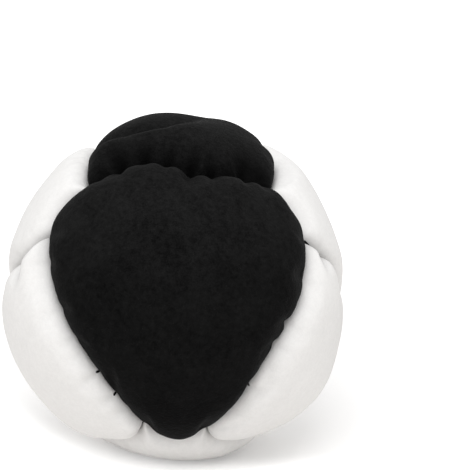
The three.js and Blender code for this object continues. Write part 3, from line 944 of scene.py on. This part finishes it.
NAP_AND_PAINTED_SHADING = nap_group()
MATERIALS = {
    # Black cloth gets painted light on what faces up and painted shade under it and in gathers;
    # white cloth gets painted shade in gathers and creases.
    "black_cloth": new_material(
        "black_cloth", NAP_AND_PAINTED_SHADING, "Object", colour=(0.0052, 0.0052, 0.0052), spread=2.2, bump=(0.6, 0.4),
        painted_light=0.75, shade_strength=0.6, Sheen_Weight=0.025, Sheen_Roughness=0.45, Specular_IOR_Level=0.03),
    "white_cloth": new_material(
        "white_cloth", NAP_AND_PAINTED_SHADING, "Object", colour=(0.87, 0.862, 0.852), spread=0.12, bump=(0.3, 0.25),
        shade_strength=0.32, Sheen_Weight=0.05, Sheen_Roughness=0.5, Specular_IOR_Level=0.15),
    "sewing_thread": new_material(
        "sewing_thread", strand_group(), "UV", colour=(0.006, 0.006, 0.006), spread=0.5,
        bump=(0.6, 0.1), Specular_IOR_Level=0.06),
    "stuffing_fibre": new_material(
        "stuffing_fibre", fibre_group(), "Object", colour=(0.78, 0.77, 0.74), spread=0.4,
        bump=(0.6, 0.5), Specular_IOR_Level=0.1),
}


# Light and floor
SKY_LIGHT = 0.7
LAMP_POWER = 1.83
LAMP_WIDTH = 0.5
LAMP_PLACE = (-0.025, -0.295, 0.56)
FLOOR_SIDE = 4.0
FLOOR_COLOUR = (0.94, 0.92, 0.9, 1.0)
FLOOR_TINT = (1.0, 0.995, 0.99)
FLOOR_SHARE = 0.98
FLOOR_LIFT = (0.15, 0.62)
LIFT_CENTRE = (14.9, 42.3, 0.0)
LIFT_REACH = (48.7, 59.7)


def make_floor():
    """Pale floor. Where the camera looks at it, part of its light is its own, so it is white and
    still shows the ball's shadow. That part grows smoothly from the lower to the higher lift over
    the reach from a spot behind the ball, which keeps the shadow narrow in front."""
    corners = [(-1, -1, 0), (1, -1, 0), (1, 1, 0), (-1, 1, 0)]
    floor = new_object("floor", np.array(corners) * FLOOR_SIDE, [(0, 1, 2, 3)])
    material = bpy.data.materials.new("floor")
    material.use_nodes = True
    n = Nodes(material.node_tree)
    shader = material.node_tree.nodes["Principled BSDF"]
    shader.inputs["Roughness"].default_value = 1.0
    shader.inputs["Specular IOR Level"].default_value = 0.0
    shader.inputs["Emission Color"].default_value = (1.0, 1.0, 1.0, 1.0)
    looked_at = n.looked_at()
    colour = n.add("ShaderNodeMix", data_type="RGBA")
    n.give(colour.inputs["Factor"], looked_at)
    n.give(colour.inputs["A"], FLOOR_COLOUR)
    n.give(colour.inputs["B"], (*(tint * FLOOR_SHARE for tint in FLOOR_TINT), 1.0))
    n.give(shader.inputs["Base Color"], colour.outputs["Result"])
    away = n.add("ShaderNodeVectorMath", {0: n.add("ShaderNodeTexCoord").outputs["Object"],
                                          1: [c * MM for c in LIFT_CENTRE]}, operation="DISTANCE")
    painted_light = n.add("ShaderNodeMapRange", {"Value": away.outputs["Value"],
                                        "From Min": LIFT_REACH[0] * MM, "To Min": FLOOR_LIFT[0],
                                        "From Max": LIFT_REACH[1] * MM, "To Max": FLOOR_LIFT[1]},
                 interpolation_type="SMOOTHSTEP").outputs[0]
    n.give(shader.inputs["Emission Strength"], n.maths("MULTIPLY", looked_at, painted_light))
    floor.data.materials.append(material)


def make_light():
    """Even sky, white where the camera looks at it, and one broad lamp above the front."""
    world = bpy.data.worlds.new("sky")
    bpy.context.scene.world = world
    world.use_nodes = True
    n = Nodes(world.node_tree)
    sky = world.node_tree.nodes["Background"]
    sky.inputs["Color"].default_value = (1.0, 1.0, 1.0, 1.0)
    looked_at = n.looked_at()
    level = n.maths("MULTIPLY_ADD", looked_at, 1.0 - SKY_LIGHT, SKY_LIGHT)
    n.give(sky.inputs["Strength"], level)
    lamp = bpy.data.lights.new("softbox", "AREA")
    lamp.shape = "DISK"
    lamp.size = LAMP_WIDTH
    lamp.energy = LAMP_POWER
    light = bpy.data.objects.new("softbox", lamp)
    light.location = LAMP_PLACE
    aim = Vector(BALL_CENTRE * MM) - light.location
    light.rotation_euler = aim.to_track_quat("-Z", "Y").to_euler()
    bpy.context.scene.collection.objects.link(light)


def make_camera():
    """Camera of the front view, aimed beside the ball so that the ball sits low and to the left."""
    scale = BALL_RADIUS * MM / RADIUS_IN_PICTURE
    centre = BALL_CENTRE * MM
    off_x = (PICTURE_SIDE / 2 - BALL_IN_PICTURE[0]) * scale
    off_y = (BALL_IN_PICTURE[1] - PICTURE_SIDE / 2) * scale
    data = bpy.data.cameras.new("camera")
    data.lens = CAMERA_LENS
    data.sensor_width = CAMERA_SENSOR
    data.clip_start, data.clip_end = 0.01, 20.0
    camera = bpy.data.objects.new("camera", data)
    camera.location = Vector(centre + VIEW_DISTANCE * BALL_RADIUS * MM * TOWARDS)
    aim = Vector(centre + off_x * RIGHT + off_y * UP)
    camera.rotation_euler = (aim - camera.location).to_track_quat("-Z", "Y").to_euler()
    bpy.context.scene.collection.objects.link(camera)
    bpy.context.scene.camera = camera


for panel in PANELS:
    make_panel(panel)
make_filling()
for seam in SEAMS[:len(LONG_SEAMS)]:
    make_thread(seam)
make_floor()
make_light()
make_camera()
bpy.context.scene.view_settings.view_transform = "Standard"
